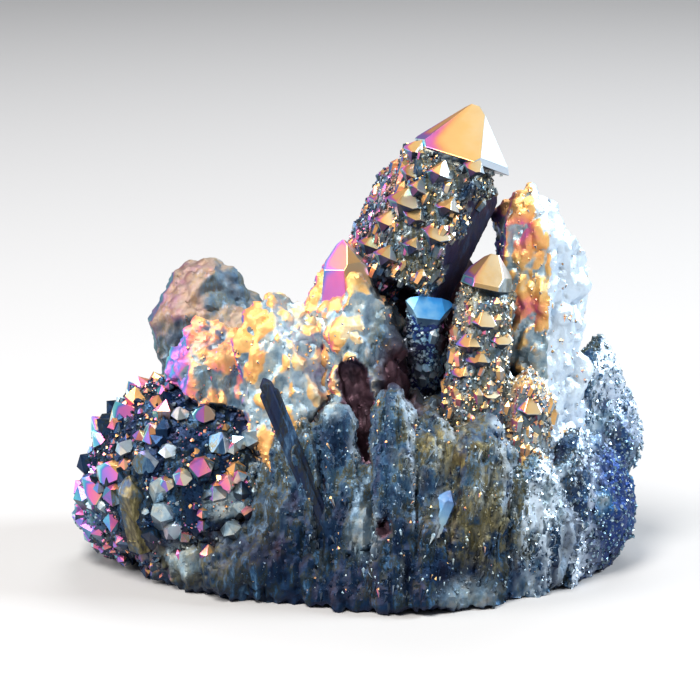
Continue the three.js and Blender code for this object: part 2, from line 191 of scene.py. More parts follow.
# What the film looks like on each kind of crystal: where its colours start, how much of the surface
# it gilds, how much painted white-blue highlight its sides that face right get, and how smoky, dark,
# azure, frosted, olive or matte the quartz is; some zones below use dark and azure for painted
# shade.
# What isn't named is 0. Grain is how likely the small crystals on it are to be gilded.
KINDS = ("film", "gild", "smoky", "right_highlight", "dark", "azure", "frost", "olive", "matte")
LOOKS = {
    "plain": dict(gild=0.1, right_highlight=0.4, dark=0.3, matte=0.5, grain=0.1),
    "gold": dict(film=-0.03, gild=1, right_highlight=0.3, frost=0.8),
    "crusty": dict(film=-0.03, gild=1, right_highlight=0.3, frost=0.8, matte=0.35, grain=0.9),
    "bud": dict(film=-0.05, gild=1, right_highlight=0.4),
    "crown": dict(film=-0.05, gild=1, right_highlight=2),
    "rose": dict(film=0.14, gild=1, right_highlight=0.45),
    "coral": dict(film=0.09, gild=0.85, right_highlight=0.3, frost=0.35, matte=0.3, grain=0.9),
    "pearl": dict(film=-0.1, gild=0.3, right_highlight=0.8, frost=1),
    "blade": dict(azure=0.5, frost=0.6, dark=0.5, matte=0.5),
    "dusk": dict(film=0.12, gild=0.35, dark=0.5, grain=0.6),
    "azure": dict(film=0.1, gild=0.6, azure=1),
    "steel": dict(gild=0.08, right_highlight=1, grain=0.1),
    "rod": dict(smoky=0.12, dark=1, matte=0.9),
    "blaze": dict(film=-0.05, gild=0.9, right_highlight=1.4, frost=0.7, matte=0.2, grain=0.9),
    "navy": dict(gild=0.14, right_highlight=0.15, dark=0.3, olive=0.4, grain=0.4),
    "deep": dict(film=0.1, gild=0.05, dark=1, grain=0.4),
    "midnight": dict(dark=1, azure=0.7, grain=0.1),
    "amber": dict(gild=0.15, right_highlight=0.4, dark=0.05, frost=0.15, olive=0.5, grain=0.45),
    "honey": dict(film=-0.02, gild=0.7, right_highlight=0.3, frost=0.3, olive=0.3, grain=0.8),
    "smoky": dict(smoky=1),
    "slate": dict(smoky=0.3, dark=1, azure=0.06, matte=0.5),
    "bronze": dict(gild=0.1, dark=0.2, olive=1, matte=0.4),
    "muted": dict(film=0.04, gild=0.35, right_highlight=0.2, dark=0.3, frost=0.3, olive=0.4),
    "shaded": dict(film=0.06, gild=0.33, dark=0.6, frost=0.15, olive=0.1, matte=0.4),
}
SHIFTS = {"crown": (0, 0), "azure": (0, 0), "bud": (-0.02, 0.04)}  # of a crystal's own colours
POINT_LOOKS = ("rose", "coral", "pearl", "rose", "steel", "pearl", "rose", "gold")

# Places where the film differs from its crystal's look, each a soft-edged ellipsoid: its middle, its
# half widths, and what it adds to the look. Some of them add painted shade or a painted highlight.
ZONES = [
    # Painted shade: the low front is darker, and gets no painted highlight at its right.
    ((2, -16, 1), (27, 9, 13), dict(dark=1)),  # the low front
    ((13, -16, 3), (9, 8, 8), dict(right_highlight=-1)),
    # Painted shade at the low right end: no painted highlight, darker and bluer.
    ((28, -3, 6), (7, 10, 14), dict(right_highlight=-1.2)),  # the low right end
    ((30, -3, 7), (11, 14, 19), dict(azure=0.3)),
    ((27, -5, 4), (10, 12, 14), dict(dark=1.7)),
    # A painted highlight on the top of the right end.
    ((27, 1, 21), (4, 5, 5), dict(right_highlight=0.8)),
    ((-19.8, -10, 8), (5, 5, 4.5), dict(dark=0.8)),
    ((-22, -9, 1), (7, 5, 2.5), dict(gild=0.9)),
    ((9.5, -14.5, 16.5), (7, 5, 5), dict(olive=0.9)),
    ((3, -8, 24), (3.8, 5, 7), dict(gild=-1.2, dark=0.6, frost=-0.8)),  # beside the hollow point
    ((4.4, -7.5, 21.5), (3.6, 5, 6), dict(smoky=1.3)),
    ((-3.4, -12, 22), (3, 4, 4), dict(frost=0.8, gild=-0.5)),
    ((-20.5, -6, 25), (5.5, 6, 7), dict(film=0.1)),
    ((-28, -2, 9), (6, 9, 11), dict(film=0.2)),
    ((19.5, -11.5, 10), (3, 4, 3), dict(frost=0.8)),
    ((14.6, -1, 41.5), (2, 3, 2), dict(frost=1.5)),  # the right rim of the head
    # The blunt one's edge is gilded and gets less painted crevice shade.
    ((17, -4.5, 32), (3.2, 4.5, 12), dict(gild=1.1, frost=0.15, hollow=-1)),  # the blunt one's edge
    ((16.6, -4.5, 32), (2.6, 4.5, 12), dict(right_highlight=-1)),
    ((16.4, -4, 36.5), (2.6, 4.5, 3), dict(film=0.16)),
    ((17, -4.5, 28), (2.6, 4.5, 2.6), dict(film=0.14)),
    ((-18.5, -12, 3.5), (2.6, 3, 2.4), dict(frost=0.9)),
    ((-13.7, -13, 9.7), (2.6, 3, 2.6), dict(frost=0.9)),
    ((-18, -12, 3), (9, 5, 4), dict(olive=0.5)),
    ((13, -14.5, 9), (8, 5, 7), dict(olive=0.7)),
    # Less painted crevice shade on the stem.
    ((6.5, 0, 24), (5.5, 6, 11), dict(hollow=-0.5)),  # the stem
    ((0.5, -16, 8.2), (2.2, 4, 3.6), dict(frost=0.4)),
    ((10.9, -16.5, 1.6), (5, 4, 2.2), dict(frost=0.35)),
]
ZONE_EDGE = 1.6  # how steeply a zone fades in from its surface

# Crystals grown all over the skins, by finish: how many on a square millimetre, their half widths,
# how far they stand out in half widths, how much they lean, how likely they are to be gilded and to
# be white as a painted glint, and how long they are.
GROWTHS = [
    ("druse", 7, (0.08, 0.24), (0.6, 1.6), 0.3, 0.7, 0.12, 1),
    ("druse", 0.4, (0.3, 0.55), (0.7, 1.1), 0.15, 2, 0, 1),
    ("cluster", 5.5, (0.08, 0.26), (0.6, 1.6), 0.4, 0.5, 0.1, 1),
    ("cluster", 0.4, (0.35, 1.2), (0.7, 1.2), 0.3, 1.3, 0.22, 1),
    ("crust", 0.8, (0.08, 0.22), (-0.3, 0.2), 0.4, 1, 0.05, 1),
    ("sugar", 4.5, (0.08, 0.26), (0.2, 1.1), 0.4, 0, 0.15, 1),
    ("column", 5, (0.07, 0.22), (-0.4, 0.4), 0.2, 0.3, 0.06, 2.2),
]

# What each rough skin is made of, and the size of its faces.
SKINS = {
    "left": dict(crystals=("leftOuter", "leftInner", "leftBack", "leftBackLow", "backC", "backE"),
                 masses=(0, 1, 6), step=0.3),
    "spire": dict(crystals=("stem", "stemSide", "head", "headTip", "headSide", "hollowPoint"),
                  masses=(), step=0.26),
    "middle": dict(crystals=("crusted", "footA", "footB", "footC", "footD", "footE"),
                   masses=(2, 3), step=0.3, pits=True),
    "right": dict(crystals=("drusy", "drusyShort", "blunt", "bluntShoulder", "rightEnd",
                            "rightLow", "footF", "footG", "footH"),
                  masses=(5,), step=0.3),
    "back": dict(crystals=("backA", "backB", "backD", "backF"), masses=(4,), step=0.4),
}
SHARES = {"back": 0.5}  # how much of the small growth a skin gets, where it isn't all

random = np.random.default_rng(SEED)

# ---- Crystal geometry ----


def unit(v):
    v = np.asarray(v, float)
    return v / np.linalg.norm(v, axis=-1, keepdims=True)


def directions(foot, tip, roll, **_):
    """A crystal's axis, and the way each of its six walls faces."""
    axis = unit(np.subtract(tip, foot))
    front = np.array([0, -1.0, 0])
    front = unit(front - axis * (front @ axis))
    side = np.cross(axis, front)
    turns = [math.radians(roll) + math.pi / 3 * k for k in range(6)]
    return axis, [front * math.cos(t) + side * math.sin(t) for t in turns]


def crystal_planes(foot, tip, apothem, roll, flare=0, drops=COMMON_DROPS, **_):
    """The planes that bound a crystal, as rows of outward normal and offset."""
    axis, walls = directions(foot, tip, roll)
    lean = math.radians(flare)
    shoulder = np.asarray(tip) - axis * apothem * math.tan(HEAD_TILT)
    rows = [(*-axis, -axis @ np.asarray(foot, float))]
    for outward, drop in zip(walls, drops):
        wall = outward * math.cos(lean) + axis * math.sin(lean)
        rows.append((*wall, wall @ (shoulder + outward * apothem)))
        face = outward * math.sin(HEAD_TILT) + axis * math.cos(HEAD_TILT)
        rows.append((*face, face @ (np.asarray(tip) - axis * drop * apothem)))
    return np.array(rows)


def corners_behind(planes):
    """The corners of the convex solid behind the planes."""
    trios = np.array(list(itertools.combinations(range(len(planes)), 3)))
    sides = planes[trios]
    apart = np.abs(np.linalg.det(sides[..., :3])) > TINY
    sides = sides[apart]
    corners = np.linalg.solve(sides[..., :3], sides[..., 3:])[..., 0]
    behind = (corners @ planes[:, :3].T - planes[:, 3]).max(1) < TINY
    return corners[behind]


def hull(points):
    """A convex bmesh round the points."""
    bm = bmesh.new()
    for p in points:
        bm.verts.new(p)
    bmesh.ops.remove_doubles(bm, verts=bm.verts, dist=1e-4)
    made = bmesh.ops.convex_hull(bm, input=bm.verts)
    bmesh.ops.delete(bm, geom=made["geom_interior"], context="VERTS")
    bmesh.ops.dissolve_limit(bm, angle_limit=0.01, verts=bm.verts, edges=bm.edges)
    return bm


def mass_points(at, half, **_):
    """Points spread evenly over a rounded mass."""
    golden = math.pi * (3 - math.sqrt(5))
    i = np.arange(MASS_POINTS)
    z = 1 - (2 * i + 1) / MASS_POINTS
    ring = np.sqrt(1 - z * z)
    return np.stack([ring * np.cos(golden * i), ring * np.sin(golden * i), z], 1) * half + at


def new_object(name, data):
    made = bpy.data.objects.new(name, data)
    bpy.context.scene.collection.objects.link(made)
    return made


def joined(bmeshes, name):
    """One mesh of many bmeshes."""
    whole = bmesh.new()
    for bm in bmeshes:
        scratch = bpy.data.meshes.new("scratch")
        bm.to_mesh(scratch)
        bm.free()
        whole.from_mesh(scratch)
        bpy.data.meshes.remove(scratch)
    mesh = bpy.data.meshes.new(name)
    whole.to_mesh(mesh)
    whole.free()
    return mesh


def column(items, name, width=1):
    """A property of every vertex or face, as an array."""
    out = np.empty(len(items) * width, np.float32)
    items.foreach_get(name, out)
    return out.reshape(-1, width) if width > 1 else out


def surface(mesh):
    """The place and the normal of every vertex."""
    return (column(mesh.vertices, "co", 3).astype(float),
            column(mesh.vertex_normals, "vector", 3).astype(float))


def move(mesh, points):
    mesh.vertices.foreach_set("co", points.astype(np.float32).ravel())
    mesh.update()


def store(mesh, name, values, kind="FLOAT", field="value"):
    """Keep a value of every vertex for the material."""
    layer = mesh.attributes.new(name, kind, "POINT")
    layer.data.foreach_set(field, np.asarray(values, np.float32).ravel())


# ---- Noise ----


def hashed(cells, seed):
    """Three numbers from 0 to 1 for each whole-number cell."""
    x, y, z = (cells[..., i].astype(np.int64) for i in range(3))
    out = []
    for k in range(3):
        h = (x * 73856093) ^ (y * 19349663) ^ (z * 83492791) ^ ((seed * 3 + k + 1) * 2654435761)
        h = (h ^ (h >> 13)) * 1274126177 & 0xFFFFFFFF
        h = (h ^ (h >> 16)) * 2246822519 & 0xFFFFFFFF
        out.append(((h ^ (h >> 15)) & 0xFFFFFF) / 0x1000000)
    return np.stack(out, -1)


def turned(seed):
    """A turn of space for each seed, so that no noise lines up with the axes or with another."""
    return np.linalg.qr(np.random.default_rng(seed).normal(size=(3, 3)))[0]


def noise(points, size, seed):
    """Smooth noise from -1 to 1, one number for each point."""
    at = points @ turned(seed) / size
    low = np.floor(at)
    part = at - low
    part = part * part * (3 - 2 * part)
    total = np.zeros(len(points))
    for corner in itertools.product((0, 1), repeat=3):
        weight = np.where(corner, part, 1 - part).prod(1)
        total += weight * hashed(low + corner, seed)[:, 0]
    return 2 * total - 1


def plates(points, size, seed):
    """Flat cells, each tilted its own way: the height of each point, from about -1 to 1."""
    at = points @ turned(seed) / size
    low = np.floor(at)
    best = np.full(len(points), 9.0)
    height = np.zeros(len(points))
    for step in itertools.product((-1, 0, 1), repeat=3):
        cell = low + step
        away = at - cell - hashed(cell, seed)
        gap = (away * away).sum(1)
        tilt = hashed(cell, seed + 7) * 2 - 1
        nearer = gap < best
        best = np.where(nearer, gap, best)
        height = np.where(nearer, (away * tilt).sum(1) + 0.5 * tilt[:, 0], height)
    return height


# ---- Where the quartz is ----

PLANES = {name: crystal_planes(**row) for name, row in CRYSTALS.items()}
PIT_PLANES = [crystal_planes(**row) for row in PITS]
ROWS = [*CRYSTALS.values(), *MASSES]
AXES = np.array([unit(np.subtract(r["tip"], r["foot"])) if "tip" in r else (0, 0, 1.0)
                 for r in ROWS])
LOOK_NAMES = list(LOOKS)
LOOK_OF = np.array([LOOK_NAMES.index(row.get("look", "plain")) for row in ROWS])


def beyond(points, planes):
    """How far each point is outside a convex solid, or less than 0 inside it."""
    return (points @ planes[:, :3].T - planes[:, 3]).max(1)


def gaps(points):
    """How far each point is outside every crystal and mass."""
    found = [beyond(points, planes) for planes in PLANES.values()]
    for row in MASSES:
        scaled = (points - row["at"]) / row["half"]
        found.append((np.linalg.norm(scaled, axis=1) - 1) * min(row["half"]))
    return np.array(found)


class CreviceShadeGrid:
    """A grid that tells how shut in by quartz a place is, for the painted shade in crevices."""

    cell = 0.75
    low = np.array([-33.0, -21.5, -1.5])
    shape = np.array([89, 58, 71])
    near_step = 1.2  # how far out from a surface the two blurred grids are read
    wide_step = 2.4

    def __init__(self):
        steps = np.indices(self.shape).reshape(3, -1).T
        points = self.low + steps * self.cell
        full = gaps(points).min(0) < 0
        for planes in PIT_PLANES:
            full &= beyond(points, planes) > 0
        full = full.reshape(self.shape).astype(np.float32)
        self.near = self.spread(full, 2)
        self.wide = self.spread(full, 5)

    def spread(self, grid, reach):
        """The grid averaged over nearby cells, twice along each side."""
        steps = range(-reach // 2, reach // 2 + 1)
        for side in (0, 0, 1, 1, 2, 2):
            grid = sum(np.roll(grid, step, side) for step in steps) / len(steps)
        return grid

    def sample(self, grid, points):
        """The grid's value at each point, smooth from cell to cell."""
        at = (points - self.low) / self.cell
        low = np.floor(at).astype(int)
        low = np.clip(low, 0, self.shape - 2)
        part = np.clip(at - low, 0, 1)
        total = np.zeros(len(points))
        for corner in itertools.product((0, 1), repeat=3):
            weight = np.where(corner, part, 1 - part).prod(1)
            i, j, k = (low + corner).T
            total += weight * grid[i, j, k]
        return total

    def depth(self, points, normals):
        """From 0 in the open to 1 deep in a crevice."""
        near = self.sample(self.near, points + normals * self.near_step)
        wide = self.sample(self.wide, points + normals * self.wide_step)
        return np.clip(1.6 * (0.5 * near + 0.5 * wide) - 0.25, 0, 1)


crevice_shade_grid = CreviceShadeGrid()

# ---- The rough skins ----

PIT_EDGE = 0.3
BARE_CALM = 0.15  # how rough a bare wall is, of the full push
PIT_CALM = 0.5
UNDER_CAP = 0.25  # how far round a cap the skin is drawn in, out of its way
CAP_SINK = 0.3
RIDGE_DRAW = 0.86  # how far ridges are drawn out along a crystal's axis: 1 is without end
SWELL_DRAW = 0.3


def rough_skin(name, crystals, masses, step, pits=False):
    """Some of the crystals and masses as one finely faced skin."""
    shapes = [hull(corners_behind(PLANES[key])) for key in crystals]
    shapes += [hull(mass_points(**MASSES[k])) for k in masses]
    coarse = new_object(name, joined(shapes, name))
    remesh(coarse, step)
    cutters = []
    if pits:
        for planes in PIT_PLANES:
            cutters.append(new_object("pit", joined([hull(corners_behind(planes))], "pit")))
            cut = coarse.modifiers.new("pit", "BOOLEAN")
            cut.operation = "DIFFERENCE"
            cut.solver = "MANIFOLD"
            cut.object = cutters[-1]
        remesh(coarse, step)
    soften = coarse.modifiers.new("soften", "SMOOTH")
    soften.iterations = 3
    soften.factor = 0.5
    graph = bpy.context.evaluated_depsgraph_get()
    mesh = bpy.data.meshes.new_from_object(coarse.evaluated_get(graph))
    for spent in [coarse, *cutters]:
        bpy.data.objects.remove(spent)
    mesh.name = name
    return roughened(mesh)


def remesh(made, step):
    modifier = made.modifiers.new("skin", "REMESH")
    modifier.mode = "VOXEL"
    modifier.voxel_size = step


def is_bare(points, normals, owner):
    """Which places lie on a wall that has no druse: its first side and its top are ragged."""
    bare = np.zeros(len(normals), bool)
    ragged = 1.2 * noise(points, 2.4, 12) + 0.8 * noise(points, 0.9, 13)
    for index, row in enumerate(ROWS):
        for wall in row.get("bare", ()):
            axis, walls = directions(**row)
            from_tip = points - row["tip"]
            across = from_tip @ np.cross(axis, walls[wall])
            half_width = row["apothem"] * math.tan(math.pi / 6)
            edge = half_width * (0.3 + 0.5 * ragged) if wall == row["bare"][0] else half_width * 2
            here = (owner == index) & (normals @ walls[wall] > 0.75) & (across > -edge)
            bare |= here & (from_tip @ axis < -row["bare_from"] - 1.3 * ragged)
    return bare


def in_pit(points):
    """Which places lie in a pit or on its edge."""
    return np.min([beyond(points, planes) for planes in PIT_PLANES], 0) < PIT_EDGE


def roughened(mesh):
    """Push a skin in and out by the noises of its finishes, and store its looks."""
    points, normals = surface(mesh)
    owner = np.abs(gaps(points)).argmin(0)
    amount = dict(zip(PUSHES, np.array([FINISHES[row["finish"]] for row in ROWS])[owner].T))
    pitted = in_pit(points)
    bare = is_bare(points, normals, owner) | pitted
    calm = np.where(bare, np.where(pitted, PIT_CALM, BARE_CALM), 1.0)
    axis = AXES[owner]
    along = (points * axis).sum(1)[:, None] * axis
    ridged = points - RIDGE_DRAW * along
    lump = 0.7 * noise(points, 3.1, 1) + 0.3 * noise(points, 1.3, 2)
    drawn = points - SWELL_DRAW * along
    swell = 0.75 * np.abs(noise(drawn, 2.1, 8)) + 0.4 * np.abs(noise(drawn, 1.0, 9))
    swell = 1.6 * (swell + 0.16 * np.abs(noise(points, 0.55, 10))) - 0.5
    push = amount["lump"] * lump + amount["swell"] * swell
    push += amount["plate"] * plates(points, 1.0, 3)
    push += amount["ridge"] * (0.6 * noise(ridged, 1.0, 4) + 0.4 * noise(ridged, 0.5, 5))
    push += amount["grain"] * plates(points, 0.55, 6)
    push = push * calm - amount["sunk"]
    push = np.where(under_caps(points, UNDER_CAP), -CAP_SINK, push)
    points += normals * push[:, None]
    points[:, 2] = np.maximum(points[:, 2], 0)
    move(mesh, points)
    look = np.where(bare, LOOK_NAMES.index("slate"), LOOK_OF[owner])
    look[pitted] = LOOK_NAMES.index("smoky")
    height = np.where(amount["swell"] > 0.5, 2 * swell, lump)
    dress(mesh, points, normals, look, height)
    store(mesh, "lie", normals, "FLOAT_VECTOR", "vector")
    mesh.polygons.foreach_set("use_smooth", np.ones(len(mesh.polygons), bool))
    mesh.set_sharp_from_angle(angle=SHARP)
    return mesh


def under_caps(points, margin):
    """Which places are inside a clean cap, or nearer to it than the margin."""
    covered = np.zeros(len(points), bool)
    for planes in CAP_PLANES.values():
        covered |= beyond(points, planes) < margin
    return covered


def dress(mesh, points, normals, look, height, shift=0.0, gilded=None, painted_glints=0.0):
    """Store what the material reads of each vertex."""
    # How deep in a crevice each place is, for the painted crevice shade, and its height.
    values = {"hollow": crevice_shade_grid.depth(points, normals), "height": height}
    for kind in KINDS:
        values[kind] = np.array([row.get(kind, 0) for row in LOOKS.values()], float)[look]
    for at, reach, changes in ZONES:
        away = np.linalg.norm((points - at) / reach, axis=1)
        for kind, amount in changes.items():
            values[kind] += amount * np.clip(ZONE_EDGE * (1 - away), 0, 1)
    values["film"] += shift
    if gilded is not None:
        values["gild"] = np.maximum(UNGILDED * values["gild"], gilded)
        values["dark"] *= 1 - gilded
    # Painted glints: some small crystals are drawn white with the frost colours.
    values["frost"] = np.maximum(values["frost"], painted_glints)
    for key, value in values.items():
        store(mesh, key, value)


def finished(mesh, material):
    """Move a mesh from the tables' millimetres to the row's frame, and place it."""
    move(mesh, (column(mesh.vertices, "co", 3) - MIDDLE) * MM)
    mesh.materials.clear()
    mesh.materials.append(material)
    piece = new_object(mesh.name, mesh)
    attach(piece, "root")
    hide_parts("quartz_cluster")
    return piece


# ---- Clean crystals ----


def cap_planes(name, depth, **_):
    """A crystal's head and the top of its walls, drawn in below like a stopper."""
    row = CRYSTALS[name]
    axis, walls = directions(**row)
    apothem = row["apothem"] + CAP_PROUD
    shoulder = np.asarray(row["tip"]) - axis * apothem * math.tan(HEAD_TILT)
    planes = crystal_planes(**{**row, "apothem": apothem})
    rim = shoulder - axis * depth
    for outward in walls:
        under = outward * math.cos(CAP_TAPER) - axis * math.sin(CAP_TAPER)
        planes = np.vstack([planes, (*under, under @ (rim + outward * apothem))])
    return planes


CAP_PLANES = {name: cap_planes(name, **row) for name, row in CAPS.items()}
SMALL = dict(above=1.15, below=1.8)  # how far a small crystal reaches from its place, in half widths
# Buds: how much wider than their row says, how deep they sit, taper, lean, random sway and turn.
BUD = dict(growth=1.5, sunk=0.45, flare=-48, lean=0.03, sway=0.035, turn=7)
POINT = dict(sunk=0.2, flare=-30, upright=0.5)
CLEAN_CREVICE_SHADE = 0.4  # how much of the painted crevice shade shows on clean faces


def small_planes(place, axis, apothem, roll, flare, lowered):
    """A small crystal with uneven head faces, of which the lowered ones are the largest."""
    tip = place + axis * SMALL["above"] * apothem
    foot = place - axis * SMALL["below"] * apothem
    drops = random.uniform(0, 0.45, 6)
    drops[lowered] += 0.35
    return crystal_planes(foot, tip, apothem, roll, flare, drops)


def bud_planes(on, wall, down, across, apothem):
    """A small crystal that stands on a wall of a big one, with almost the same axis."""
    host = CRYSTALS[on]
    axis, walls = directions(**host)
    along = np.cross(axis, walls[wall])
    place = np.asarray(host["tip"]) - axis * down + along * across
    place = place + walls[wall] * (host["apothem"] - BUD["sunk"] * apothem)
    axis = unit(axis + BUD["lean"] * walls[wall] + random.normal(0, BUD["sway"], 3))
    roll = host["roll"] + random.normal(0, BUD["turn"])
    lowered = [[0], [5]][random.integers(2)]
    return small_planes(place, axis, BUD["growth"] * apothem, roll, BUD["flare"], lowered)


def point_planes(index, turn, rise, apothem):
    """A small crystal that stands out of the left-hand mass."""
    around, up = math.radians(turn), math.radians(rise)
    outward = np.array([math.cos(up) * math.sin(around), -math.cos(up) * math.cos(around),
                        math.sin(up)])
    axis = unit(outward + (0, 0, POINT["upright"]))
    place = outward * MASSES[0]["half"] + MASSES[0]["at"] - axis * POINT["sunk"] * apothem
    return small_planes(place, axis, apothem, 25 * index, POINT["flare"], [index % 6])


def clean_crystals():
    """Every crystal with clean faces, sharp but for a fine bevel."""
    rows = [(CAP_PLANES[name], row["look"], row["bevel"]) for name, row in CAPS.items()]
    rows += [(PLANES[name], row["look"], BEVEL) for name, row in CRYSTALS.items()
             if row["finish"] == "clean"]
    rows += [(bud_planes(*row), "bud", BEVEL) for row in BUDS]
    rows += [(point_planes(index, *row), POINT_LOOKS[index % len(POINT_LOOKS)], BEVEL)
             for index, row in enumerate(POINTS)]
    shapes, looks, shifts, rims, heights = [], [], [], [], []
    for planes, look, width in rows:
        bm = hull(corners_behind(planes))
        bmesh.ops.bevel(bm, geom=bm.edges, offset=width, segments=1, affect="EDGES",
                        clamp_overlap=True)
        rim = set(bm.verts)
        wide = [face for face in bm.faces if face.calc_area() > RIM * RIM]
        bmesh.ops.poke(bm, faces=wide)
        bm.verts.index_update()
        middle = sum((v.co for v in bm.verts), Vector()) / len(bm.verts)
        reach = max((v.co - middle).length for v in bm.verts)
        own = random.uniform(*SHIFTS.get(look, (-0.1, 0.12)))
        for vert in bm.verts:
            way = (vert.co - middle) / reach
            shifts.append(own - 0.07 * way.x - 0.03 * way.z)
            rims.append(max(0, 0.5 * way.z - way.x + 0.3) if vert in rim else 0)
            blue = 0.46 - 0.5 * way.z - 0.45 * way.x
            heights.append(blue if look in ("azure", "blade") else 1)
        looks += [LOOK_NAMES.index(look)] * len(bm.verts)
        shapes.append(bm)
    mesh = joined(shapes, "clean_crystals")
    points, normals = surface(mesh)
    dress(mesh, points, normals, np.array(looks), np.array(heights), np.array(shifts))
    # Clean faces get less of the painted crevice shade.
    hollow = mesh.attributes["hollow"].data
    hollow.foreach_set("value", CLEAN_CREVICE_SHADE * column(hollow, "value"))
    store(mesh, "rim", rims)
    return mesh


# ---- Druse ----

BURIED = -1.0  # nothing grows this far inside the quartz
LOWEST = 0.5  # nor this near the cut below, with more room for needles
NEEDLE_ROOM = 1.2
CAP_MARGIN = 0.05  # nor this near a clean cap
HANGING = -0.35  # nor where a crystal's side faces further than this towards its foot
SMALLNESS = 2.2  # how much commoner narrow crystals are than wide ones
ASIDE = (0.3, 0.9, 0.2)  # a direction that no axis has
BLUNTNESS = 0.87  # how much of a full pyramid a head is
ROOT = 2.2  # how far a crystal reaches below its head, in half widths


def sampled(mesh, density, share, long):
    """Random places on the parts of a skin that a growth covers."""
    mesh.calc_loop_triangles()
    triangles = column(mesh.loop_triangles, "vertices", 3).astype(int)
    points, normals = surface(mesh)
    corners = points[triangles]
    centre = corners.mean(1)
    area = np.linalg.norm(np.cross(corners[:, 1] - corners[:, 0], corners[:, 2] - corners[:, 0]),
                          axis=1) / 2
    count = int(area.sum() * density * share)
    chosen = random.choice(len(centre), count, p=area / area.sum())
    place = centre[chosen]
    normal = normals[triangles[chosen, 0]]
    gap = gaps(place)
    owner = np.abs(gap).argmin(0)
    lowest = LOWEST + NEEDLE_ROOM * (long - 1)
    keep = (gap.min(0) > BURIED) & (place[:, 2] > lowest) & ~is_bare(place, normal, owner)
    keep &= ~under_caps(place, CAP_MARGIN) & ~in_pit(place)
    keep &= (owner >= len(CRYSTALS)) | ((normal * AXES[owner]).sum(1) > HANGING)
    return place[keep], normal[keep], owner[keep]


def sprouts(mesh, share):
    """Where small crystals grow on a skin: a column of numbers for each, by name."""
    found = []
    for kind, density, (low, high), stand, jitter, gilded, painted_glint_share, long in GROWTHS:
        place, normal, owner = sampled(mesh, density, share, long)
        keep = np.array([row["finish"] == kind for row in ROWS])[owner]
        count = keep.sum()
        gilding = np.array([row.get("grain", 0) for row in LOOKS.values()])
        chance = gilding[LOOK_OF[owner[keep]]] * gilded
        chance = chance * (1 + 0.9 * noise(place[keep], 2.2, 11))
        found.append(dict(
            place=place[keep], normal=normal[keep], owner=owner[keep],
            width=low + (high - low) * random.random(count) ** SMALLNESS,
            stand=random.uniform(*stand, count),
            jitter=np.full(count, jitter),
            long=np.full(count, long),
            gilded=1.0 * (random.random(count) < chance),
            painted_glint=1.0 * (random.random(count) < painted_glint_share),
        ))
    every = {key: np.concatenate([part[key] for part in found]) for key in found[0]}
    order = np.argsort(every["width"] < GRAIN, kind="stable")
    return {key: value[order] for key, value in every.items()}


def stones(place, normal, axis, width, stand, long, whole):
    """Six-sided crystals, as prisms with a pyramid on top or, where not whole, double pyramids."""
    count = len(place)
    side = unit(np.cross(axis, ASIDE))
    other = np.cross(axis, side)
    turns = np.radians(random.uniform(0, 60, count))[:, None] + np.arange(6) * math.pi / 3
    ring = side[:, None] * np.cos(turns)[..., None] + other[:, None] * np.sin(turns)[..., None]
    ring *= (width / math.cos(math.pi / 6))[:, None, None]
    width = width[:, None]
    height = width * stand[:, None]
    tip = place + normal * height * 0.35 + axis * height * 0.65
    head = axis * width * math.tan(HEAD_TILT)
    uneven = random.uniform(-0.3, 0.3, (count, 6, 1)) * width[:, None]
    shoulder = (tip - head * BLUNTNESS)[:, None] + ring + axis[:, None] * uneven
    below = tip - head - axis * width * ROOT * long[:, None]
    tip = tip + random.uniform(-0.2, 0.2, (count, 1)) * side * width
    round_it = [(k, (k + 1) % 6) for k in range(6)]
    faces = [(0, 1 + k, 1 + after) for k, after in round_it]
    if whole:
        verts = np.concatenate([tip[:, None], shoulder, below[:, None] + ring * 0.8], 1)
        faces += [(1 + k, 7 + k, 7 + after) for k, after in round_it]
        faces += [(1 + k, 7 + after, 1 + after) for k, after in round_it]
        faces += [(7, 8 + k + 1, 8 + k) for k in range(4)]
    else:
        verts = np.concatenate([tip[:, None], shoulder, below[:, None]], 1)
        faces += [(1 + k, 7, 1 + after) for k, after in round_it]
    return verts, np.array(faces)


def grown(skin, share):
    """The many small crystals on a skin, in one mesh; share thins them out."""
    every = sprouts(skin, share)
    owner, normal = every["owner"], every["normal"]
    upright = owner >= len(CRYSTALS)
    axis = np.where(upright[:, None], normal + (0, 0, 0.6), AXES[owner] + 0.25 * normal)
    axis = unit(axis + random.normal(size=axis.shape) * every["jitter"][:, None])
    split = np.searchsorted(every["width"] < GRAIN, True)
    verts, faces, sizes, start = [], [], [], 0
    for part, whole in ((slice(None, split), True), (slice(split, None), False)):
        made, pattern = stones(every["place"][part], normal[part], axis[part],
                               every["width"][part], every["stand"][part],
                               every["long"][part], whole)
        count, size = made.shape[:2]
        starts = start + size * np.arange(count)
        verts.append(made.reshape(-1, 3))
        faces.append((starts[:, None, None] + pattern).reshape(-1, 3))
        sizes.append(np.full(count, size))
        start += size * count
    verts, faces = np.concatenate(verts), np.concatenate(faces)
    verts[:, 2] = np.maximum(verts[:, 2], 0)
    each = np.repeat(np.arange(len(owner)), np.concatenate(sizes))
    mesh = bpy.data.meshes.new(skin.name.replace("rough", "druse"))
    mesh.from_pydata(verts, [], faces)
    mesh.update()
    shift = random.uniform(-0.08, 0.08, len(owner))
    dress(mesh, verts, normal[each], LOOK_OF[owner][each], np.full(len(verts), 0.6), shift[each],
          every["gilded"][each], every["painted_glint"][each])
    return mesh


# ---- Material ----

MIX_SOCKETS = {"RGBA": (6, 7, 2), "VECTOR": (4, 5, 1)}  # a mix node's two inputs and its output


